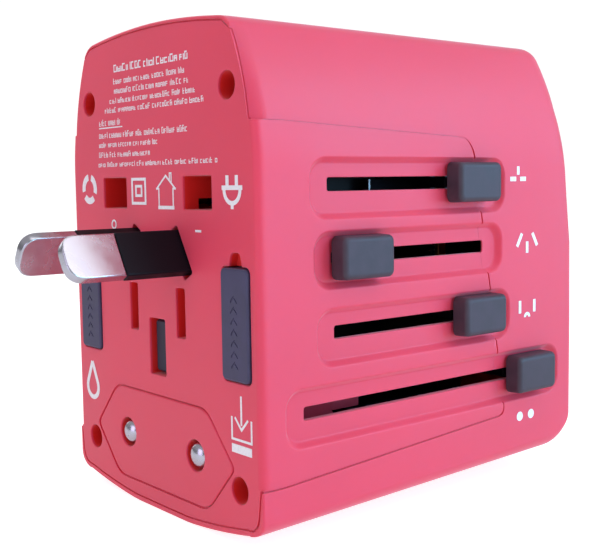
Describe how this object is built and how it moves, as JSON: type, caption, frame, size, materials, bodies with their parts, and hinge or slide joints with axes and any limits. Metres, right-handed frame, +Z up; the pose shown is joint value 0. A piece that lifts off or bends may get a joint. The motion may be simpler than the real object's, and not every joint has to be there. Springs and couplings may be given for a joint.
{
  "type": "universal travel adapter",
  "caption": "Block-shaped universal travel adapter with sliding plug sets worked by side knobs, a pop-out six-sided plug block, fuse drawers, a shuttered socket and charging ports.",
  "frame": {"origin": "on the flat plug face, half way between the two upper rectangular pin holes", "axes": "the pins come out towards -Y, the socket faces +Y, the slider knobs are on the +X side, +Z is up"},
  "size_m": [0.0517, 0.0828, 0.0704],
  "materials": {
    "coral_shell": "soft-touch satin moulding, coral pink",
    "slate_plastic": "satin slate-grey moulding",
    "black_plastic": "satin black moulding",
    "ivory_plastic": "off-white moulding",
    "ceramic": "glazed white ceramic with plated end caps",
    "nickel": "bright nickel plating, fine drawn grain",
    "brass": "bare rolled brass",
    "steel": "zinc-plated steel",
    "circuit_board": "green solder mask",
    "capacitor_can": "blue shrink sleeve over an aluminium can",
    "ferrite": "dark ferrite with yellow tape"
  },
  "bodies": {
    "housing": {"front_shell": "coral_shell", "rear_shell": "coral_shell", "housing_screw_1": "steel", "housing_screw_2": "steel", "housing_screw_3": "steel", "housing_screw_4": "steel", "shutter_spring": "steel", "bridge_rectifier": "black_plastic", "line_contact": "brass", "neutral_contact": "brass", "line_busbar": "brass", "neutral_busbar": "brass", "fuse_contact_upper": "brass", "fuse_contact_lower": "brass", "socket_plate": "slate_plastic", "usb_port_1": "nickel", "usb_port_2": "nickel", "usb_port_3": "nickel", "usb_port_4": "nickel", "contact_block": "ivory_plastic", "charger_board": "circuit_board", "transformer": "ferrite", "input_capacitor": "capacitor_can", "output_capacitor": "capacitor_can"},
    "uk_slider": {"uk_carrier": "black_plastic", "uk_detent_leaf": "steel", "uk_knob": "slate_plastic", "uk_line_pin": "brass", "uk_line_sleeve": "black_plastic", "uk_neutral_pin": "brass", "uk_neutral_sleeve": "black_plastic", "uk_earth_pin": "slate_plastic"},
    "au_slider": {"au_carrier": "black_plastic", "au_knob": "slate_plastic", "au_line_blade": "nickel", "au_line_sleeve": "black_plastic", "au_neutral_blade": "nickel", "au_neutral_sleeve": "black_plastic"},
    "us_slider": {"us_carrier": "black_plastic", "us_knob": "slate_plastic", "us_line_blade": "nickel", "us_neutral_blade": "nickel"},
    "eu_block": {"eu_hex_block": "coral_shell"},
    "eu_pins": {"eu_carrier": "black_plastic", "eu_knob": "slate_plastic", "eu_line_pin": "nickel", "eu_line_sleeve": "black_plastic", "eu_neutral_pin": "nickel", "eu_neutral_sleeve": "black_plastic"},
    "fuse_holder": {"fuse_drawer": "slate_plastic", "fuse": "ceramic"},
    "spare_fuse_holder": {"spare_fuse_drawer": "slate_plastic", "spare_fuse": "ceramic"},
    "socket_shutter": {"shutter": "ivory_plastic"}
  },
  "joints": [
    {"name": "uk_slide", "type": "slide", "parent": "housing", "child": "uk_slider", "axis": [0, -1, 0], "range_m": [0, 0.0232]},
    {"name": "au_slide", "type": "slide", "parent": "housing", "child": "au_slider", "axis": [0, 1, 0], "range_m": [0, 0.022]},
    {"name": "us_slide", "type": "slide", "parent": "housing", "child": "us_slider", "axis": [0, -1, 0], "range_m": [0, 0.0235]},
    {"name": "eu_block_slide", "type": "slide", "parent": "housing", "child": "eu_block", "axis": [0, -1, 0], "range_m": [0, 0.0226]},
    {"name": "eu_pin_slide", "type": "slide", "parent": "eu_block", "child": "eu_pins", "axis": [0, -1, 0], "range_m": [0, 0.0187]},
    {"name": "fuse_drawer_slide", "type": "slide", "parent": "housing", "child": "fuse_holder", "axis": [0, -1, 0], "range_m": [0, 0.012]},
    {"name": "spare_fuse_drawer_slide", "type": "slide", "parent": "housing", "child": "spare_fuse_holder", "axis": [0, -1, 0], "range_m": [0, 0.012]},
    {"name": "shutter_slide", "type": "slide", "parent": "housing", "child": "socket_shutter", "axis": [0, 0, 1], "range_m": [0, 0.0068], "stiffness_N_per_m": 60, "springref_m": -0.006, "deforming": ["shutter_spring"]}
  ]
}
